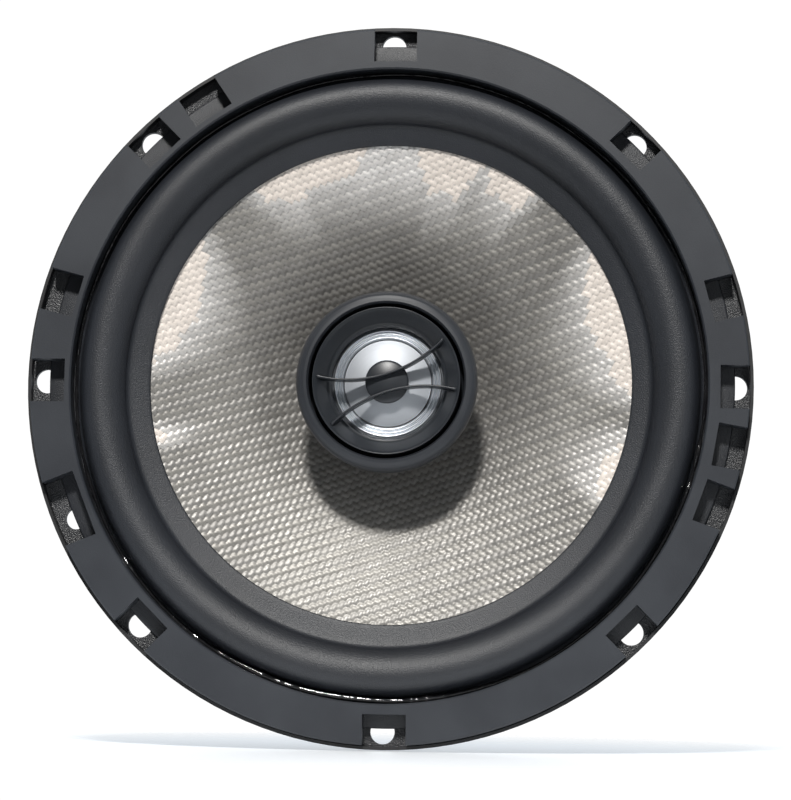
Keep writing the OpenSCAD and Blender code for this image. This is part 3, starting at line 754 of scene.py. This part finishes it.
def make_tweeter_edge():
    r = np.linspace(RIDGE_IN_R, RIDGE_OUT_R, RIDGES * PER_RIDGE + 1)
    phase = TURN * RIDGES * (r - RIDGE_IN_R) / (RIDGE_OUT_R - RIDGE_IN_R)
    y = FILM_Y - RIDGE_HIGH * (1 - np.cos(phase)) / 2
    y -= RISE_HIGH * np.clip((r - RISE_IN_R) / (RISE_OUT_R - RISE_IN_R), 0, 1)
    rim = [[r, FILM_Y] for r in CLAMPED_R]
    path = np.concatenate([np.stack([r, y], 1), [[DROP_R, DROP_Y]], rim])
    obj = revolve("tweeter_edge", thick(path, FILM_T, cap=2), MATERIALS["edge"], steps=160)
    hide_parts("tweeter_suspension")
    radial_blend(obj)


make_tweeter_edge()

# ---------------------------------------------------------------- tweeter's funnel and blades

MOUTH_R, THROAT_R = 16.4, 13.4
MOUTH_Y, THROAT_Y = -10.0, -5.6
MOUTH_ROUND = 0.15
# The skirt ends in a wider collar, and a step inside it takes the clamped film.
SKIRT_R, SKIRT_MIDDLE_Y = MOUTH_R + 2 * MOUTH_ROUND, -6.5
COLLAR_R, COLLAR_FRONT_Y, COLLAR_BACK_Y = 17.2, -3.9, -3.1
STEP_R, STEP_Y, BORE_R = 14.8, -3.4, 12.78
# Radius, y and the two ends in degrees of the bore's rounded corners.
CORNERS = [(12.86, -4.1, 180, 235), (13.25, -5.5, 215, 260)]
CORNER_ROUND = 0.16
DISC_R, DISC_BACK_Y, DISC_FRONT_Y = 4.9, -6.4, -8.2
# The disc's face is part of a ball that falls back DISC_HIGH at DISC_R. It ends at DISC_FACE_R.
DISC_FACE_R, DISC_HIGH = 4.75, 0.9
DISC_ROUND, DISC_ROUND_Y, DISC_CHAMFER = 0.18, -7.12, 0.1
BLADE_R, BLADE_HALF = 29.8, 0.24
BLADE_X, BLADE_Z, BLADE_DROP = -9.1, 30.4, 0.4
BLADE_BACK_HALF, BLADE_FRONT_Y, BLADE_BACK_Y = 0.4, -9.4, -6.8
# Each half of a blade flares over its last tenth, and its end goes BLADE_ROOT into the funnel.
BLADE_FLARE, FLARE_FROM, BLADE_ROOT = 0.9, 0.9, 0.08
BLADE_STEPS = 48


def funnel_r(y):
    return MOUTH_R - (MOUTH_R - THROAT_R) * (y - MOUTH_Y) / (THROAT_Y - MOUTH_Y)


def funnel_outline():
    return np.concatenate([
        arc(MOUTH_R + MOUTH_ROUND, MOUTH_Y + MOUTH_ROUND, MOUTH_ROUND, -180, 0, 9),
        [[SKIRT_R, SKIRT_MIDDLE_Y], [SKIRT_R, COLLAR_FRONT_Y], [COLLAR_R, COLLAR_FRONT_Y],
         [COLLAR_R, COLLAR_BACK_Y], [STEP_R, COLLAR_BACK_Y], [STEP_R, STEP_Y], [BORE_R, STEP_Y]],
        *[arc(r, y, CORNER_ROUND, start, end, 4) for r, y, start, end in CORNERS],
        [[funnel_r(y), y] for y in np.linspace(THROAT_Y - 0.2, MOUTH_Y + 0.3, 8)]])


def disc_outline():
    """A slightly domed front, a round rim and a flat back, from the axis outward and back."""
    ball = (DISC_R ** 2 + DISC_HIGH ** 2) / (2 * DISC_HIGH)
    rim = -90 + math.degrees(math.asin(DISC_FACE_R / ball))
    front = arc(0, DISC_FRONT_Y + ball, ball, -90, rim, 12)
    return np.concatenate([[[0, DISC_BACK_Y]], [[0, DISC_FRONT_Y]], front[1:],
                           arc(DISC_R - DISC_ROUND, DISC_ROUND_Y, DISC_ROUND, -60, 0, 4),
                           [[DISC_R, DISC_BACK_Y - DISC_CHAMFER],
                            [DISC_R - DISC_CHAMFER, DISC_BACK_Y]]])


def blade_mesh(side):
    """One blade: an arched strip, thin at its round front edge and flared at the funnel."""
    centre = np.array([side * BLADE_X, side * BLADE_Z - BLADE_DROP])
    reach = np.linalg.norm(centre)
    towards = math.atan2(-centre[1], -centre[0])
    edge = [(BLADE_HALF * math.cos(q), BLADE_FRONT_Y + BLADE_HALF * (1 - math.sin(q)))
            for q in np.linspace(0, math.pi, 7)]
    section = [(BLADE_BACK_HALF, BLADE_BACK_Y), *edge, (-BLADE_BACK_HALF, BLADE_BACK_Y)]
    points = []
    for k in range(BLADE_STEPS + 1):
        u = 2 * k / BLADE_STEPS - 1
        flare = 1 + BLADE_FLARE * max(0, (abs(u) - FLARE_FROM) / (1 - FLARE_FROM)) ** 2
        for off, y in section:
            wall = funnel_r(y) + BLADE_ROOT
            swing = math.acos((reach ** 2 + BLADE_R ** 2 - wall ** 2) / (2 * reach * BLADE_R))
            a = towards + u * swing
            r = BLADE_R + off * flare
            points.append([centre[0] + r * math.cos(a), y, centre[1] + r * math.sin(a)])
    rings = BLADE_STEPS + 1
    return points, tube_faces(rings, len(section)) + end_caps(rings, len(section))


def join_objects(name, parts):
    for o in parts[1:]:
        bm = bmesh.new()
        bm.from_mesh(parts[0].data)
        bm.from_mesh(o.data)
        bm.to_mesh(parts[0].data)
        bm.free()
        bpy.data.objects.remove(o)
    parts[0].name = name
    return parts[0]


def make_bezel():
    parts = [revolve("funnel", funnel_outline(), MATERIALS["bezel"], steps=224),
             revolve("disc", disc_outline(), MATERIALS["bezel"], steps=96)]
    for side in (1, -1):
        points, faces = blade_mesh(side)
        parts.append(mesh_object("blade", points, faces, MATERIALS["bezel"]))
    obj = join_objects("tweeter_funnel", parts)
    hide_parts("tweeter_bezel")
    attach(obj, "chassis")


make_bezel()

# ---------------------------------------------------------------- glue in the groove

BEAD_R, BEAD_Y = 71.75, -1.92
THIN_SIZE, THICK_SIZE = 0.4, 0.76
# The bead's middle and half its height, as shares of its size.
BEAD_MIDDLE, BEAD_HALF = 0.72, 0.95
# The bead is thick between these clock angles, where it is taller and sits farther in.
THICK_FROM, THICK_TO = 145, 230
THICK_TALL, THICK_IN = 0.9, 0.3
# It pooled before it set: there it is smoother, and its front is blunter and leans outward.
POOL_CLOCK, POOL_WIDE = 188, 20
POOL_SMOOTH, POOL_BLUNT, POOL_LEAN = 0.8, 0.6, 0.3
# How the bead wanders in and out: how many times in a turn, how far and where it starts.
DRIFTS = [(5, 0.1, 1), (17, 0.07, 0)]
# Waves along the bead: how many in a turn, how large and where they start.
BEAD_WAVES = [(9, 0.066, 0.4), (23, 0.077, 2.1), (41, 0.066, 4.0), (77, 0.055, 1.0),
              (131, 0.044, 5.0)]
# Drops: clock angle, height and half width in degrees.
DROPS = [(102, 0.32, 1.6), (109, 0.22, 1.0), (172, 0.22, 1.3), (175, 0.16, 0.9),
         (203, 0.2, 1.8), (234, 0.2, 1.2), (157, 0.14, 0.8)]


def bead_shape(t, u, v):
    """Moves the points u, v of a unit circle to the bead's outline at the angle t."""
    clock = np.degrees(t) % 360
    share = np.clip((clock - THICK_FROM) / (THICK_TO - THICK_FROM), 0, 1)
    thick_side = 0.5 - 0.5 * np.cos(share * TURN)
    pool = np.exp(-((clock - POOL_CLOCK) / POOL_WIDE) ** 2)
    size = THIN_SIZE + (THICK_SIZE - THIN_SIZE) * thick_side
    for count, large, start in BEAD_WAVES:
        size = size * (1 + large * (1 - POOL_SMOOTH * pool) * np.sin(count * t + start))
    for at, high, wide in DROPS:
        size = size + high * np.exp(-((clock - at) / wide) ** 2)
    drift = sum(far * np.sin(count * t + start) for count, far, start in DRIFTS)
    r = BEAD_R - THICK_IN * thick_side + drift + size * u
    tall = 1 + THICK_TALL * thick_side
    front = np.maximum(v, 0)
    rise = np.minimum(v, 0) + front ** (1 - POOL_BLUNT * pool)
    lean = POOL_LEAN * size * pool * u * front ** 0.3
    y = BEAD_Y - size * tall * (BEAD_MIDDLE + rise * BEAD_HALF) - lean
    return r - u, y - v


def make_glue():
    """A hand-laid bead: thin at the top, thick and pooled at the bottom."""
    circle = arc(0, 0, 1, 0, 360, 13)[:-1]
    obj = revolve("ring_glue_bead", circle, MATERIALS["glue"], steps=1080, wobble=bead_shape)
    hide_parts("ring_glue")
    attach(obj, "chassis")


make_glue()

# ---------------------------------------------------------------- tinsel leads

BOARD_CLOCK = math.radians(210)
OUT = np.array([math.sin(BOARD_CLOCK), math.cos(BOARD_CLOCK)])
SIDE = np.array([math.cos(BOARD_CLOCK), -math.sin(BOARD_CLOCK)])
LEAD_R, STRANDS, TWISTS = 0.5, 6, 16
# How deep the grooves between strands are, as a share of the lead's radius.
GROOVE = 0.14
PER_STRAND = 5
# Any direction that no lead runs in.
ACROSS = [0.31, 0.2, 0.93]
LEAD_SIDE = 10.6
# Outward, sideways from LEAD_SIDE, and depth, from the board to the cone.
LEAD_ROUTE = [[54.6, 0, 21.6], [52.2, 0, 19.2], [48, -0.4, 17.4], [42, -1.2, 17],
              [36, -2.2, 16], [31, -3.2, 13.6], [28.4, -3.8, 10.6]]


def catmull(points, steps):
    p = np.asarray(points, float)
    out = []
    for i in range(len(p) - 1):
        a, b, c, d = p[max(i - 1, 0)], p[i], p[i + 1], p[min(i + 2, len(p) - 1)]
        for t in np.linspace(0, 1, steps, endpoint=False):
            out.append(0.5 * (2 * b + (c - a) * t + (2 * a - 5 * b + 4 * c - d) * t ** 2
                              + (3 * b - a - 3 * c + d) * t ** 3))
    return np.array([*out, p[-1]])


def at_board(q):
    """(outward, sideways, depth) at the terminal board's clock angle, in the row frame."""
    x, z = q[0] * OUT + q[1] * SIDE
    return [x, q[2], z]


def rope(name, path, radius, strands, turns, material):
    """A lead of a few twisted strands: a tube whose outline turns along it."""
    path = np.asarray(path, float)
    d = directions(path)
    u = np.cross(d, ACROSS)
    u /= np.linalg.norm(u, axis=1)[:, None]
    v = np.cross(d, u)
    run = np.concatenate([[0], np.cumsum(np.linalg.norm(np.diff(path, axis=0), axis=1))])
    n = strands * PER_STRAND
    q = np.linspace(0, TURN, n, endpoint=False)
    turn = run / run[-1] * turns * TURN
    ridge = np.abs(np.cos(strands * (q[None] - turn[:, None]) / 2))
    r = radius * (1 - GROOVE + GROOVE * ridge)
    ring = (path[:, None] + r[..., None] * (np.cos(q)[None, :, None] * u[:, None]
                                            + np.sin(q)[None, :, None] * v[:, None]))
    faces = tube_faces(len(path), n) + end_caps(len(path), n)
    return mesh_object(name, ring.reshape(-1, 3), faces, material)


def make_tinsels():
    for name, side in (("positive_tinsel", 1), ("negative_tinsel", -1)):
        path = [at_board([p[0], side * (LEAD_SIDE + p[1]), p[2]]) for p in catmull(LEAD_ROUTE, 16)]
        obj = rope(name + "_braid", path, LEAD_R, STRANDS, TWISTS, MATERIALS["braid"])
        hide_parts(name)
        radial_blend(obj)


make_tinsels()

# ---------------------------------------------------------------- floor

FLOOR_HALF = 0.4
FLOOR_GAP = 0.0002
# The distances from the middle at which the floor starts to fade and is gone.
FLOOR_FADE = (0.05, 0.25)


def floor_white():
    """A white floor that fades into the background away from the speaker."""
    n = Nodes("floor_white")
    x, y, _ = n.split(n.place())
    n.set(base_color=n.mix(n.noise(3.0, 3.0), (0.8, 0.82, 0.85), (0.86, 0.88, 0.9)),
          roughness=0.35, specular_ior_level=0.3,
          alpha=n.fade(n.distance(x, y), *FLOOR_FADE, 1.0, 0.0),
          emission_color=(0.92, 0.96, 1.0, 1), emission_strength=0.3)
    return n.material


def make_stage():
    s = FLOOR_HALF
    z = CAD_BOX[0].z - FLOOR_GAP
    mesh = bpy.data.meshes.new("floor")
    mesh.from_pydata([(-s, -s, z), (s, -s, z), (s, s, z), (-s, s, z)], [], [(0, 1, 2, 3)])
    mesh.materials.append(floor_white())
    floor = bpy.data.objects.new("floor", mesh)
    bpy.context.scene.collection.objects.link(floor)


# ---------------------------------------------------------------- light

WARM, COOL = (1.0, 0.985, 0.96), (0.95, 0.98, 1.0)
# Name, azimuth and elevation in degrees, distance, width, height (None if round), power, colour.
LIGHTS = [
    ("key", -3, 40, 1.3, 0.16, None, 17, WARM),
    ("right", 38, 2, 1.2, 0.36, 0.6, 0.9, COOL),
    ("left", -42, 4, 1.2, 0.5, 0.6, 0.12, COOL),
    ("below", 12, -11, 0.9, 0.7, 0.2, 0.3, COOL),
]
BACKDROP, BACKDROP_STRENGTH = (1, 1, 1, 1), 1.05
# What the speaker sees round it: dim in front, brighter behind. The fade is over the direction's
# y, from the first to the second number, and the strength goes from the third to the fourth.
ROOM = (0.88, 0.94, 1.0, 1)
ROOM_FADE = (-0.6, 0.3, 0.05, 0.8)


def direction(azimuth, elevation):
    a, e = math.radians(azimuth), math.radians(elevation)
    return (math.sin(a) * math.cos(e), -math.cos(a) * math.cos(e), math.sin(e))


def area_light(name, azimuth, elevation, distance, width, height, energy, colour):
    data = bpy.data.lights.new(name, "AREA")
    data.shape = "RECTANGLE" if height else "DISK"
    data.size = width
    if height:
        data.size_y = height
    data.energy = energy
    data.color = colour
    obj = bpy.data.objects.new(name, data)
    d = Vector(direction(azimuth, elevation)).normalized()
    obj.location = d * distance
    obj.rotation_euler = (-d).to_track_quat("-Z", "Y").to_euler()
    bpy.context.scene.collection.objects.link(obj)


def make_world():
    """White where the camera looks, and the room where anything else looks."""
    world = bpy.data.worlds.new("world")
    bpy.context.scene.world = world
    world.use_nodes = True
    tree = world.node_tree
    tree.nodes.clear()
    out = tree.nodes.new("ShaderNodeOutputWorld")
    room = tree.nodes.new("ShaderNodeBackground")
    seen = tree.nodes.new("ShaderNodeBackground")
    seen.inputs[0].default_value = BACKDROP
    seen.inputs[1].default_value = BACKDROP_STRENGTH
    coords = tree.nodes.new("ShaderNodeTexCoord")
    split = tree.nodes.new("ShaderNodeSeparateXYZ")
    tree.links.new(coords.outputs["Generated"], split.inputs[0])
    fade = tree.nodes.new("ShaderNodeMapRange")
    fade.interpolation_type = "SMOOTHSTEP"
    tree.links.new(split.outputs[1], fade.inputs[0])
    for socket, value in zip(fade.inputs[1:], ROOM_FADE):
        socket.default_value = value
    room.inputs[0].default_value = ROOM
    tree.links.new(fade.outputs[0], room.inputs[1])
    ray = tree.nodes.new("ShaderNodeLightPath")
    mix = tree.nodes.new("ShaderNodeMixShader")
    tree.links.new(ray.outputs["Is Camera Ray"], mix.inputs[0])
    tree.links.new(room.outputs[0], mix.inputs[1])
    tree.links.new(seen.outputs[0], mix.inputs[2])
    tree.links.new(mix.outputs[0], out.inputs[0])


def set_view():
    view = bpy.context.scene.view_settings
    view.view_transform = "Standard"
    view.look = "None"


make_stage()
for light in LIGHTS:
    area_light(*light)
make_world()
set_view()
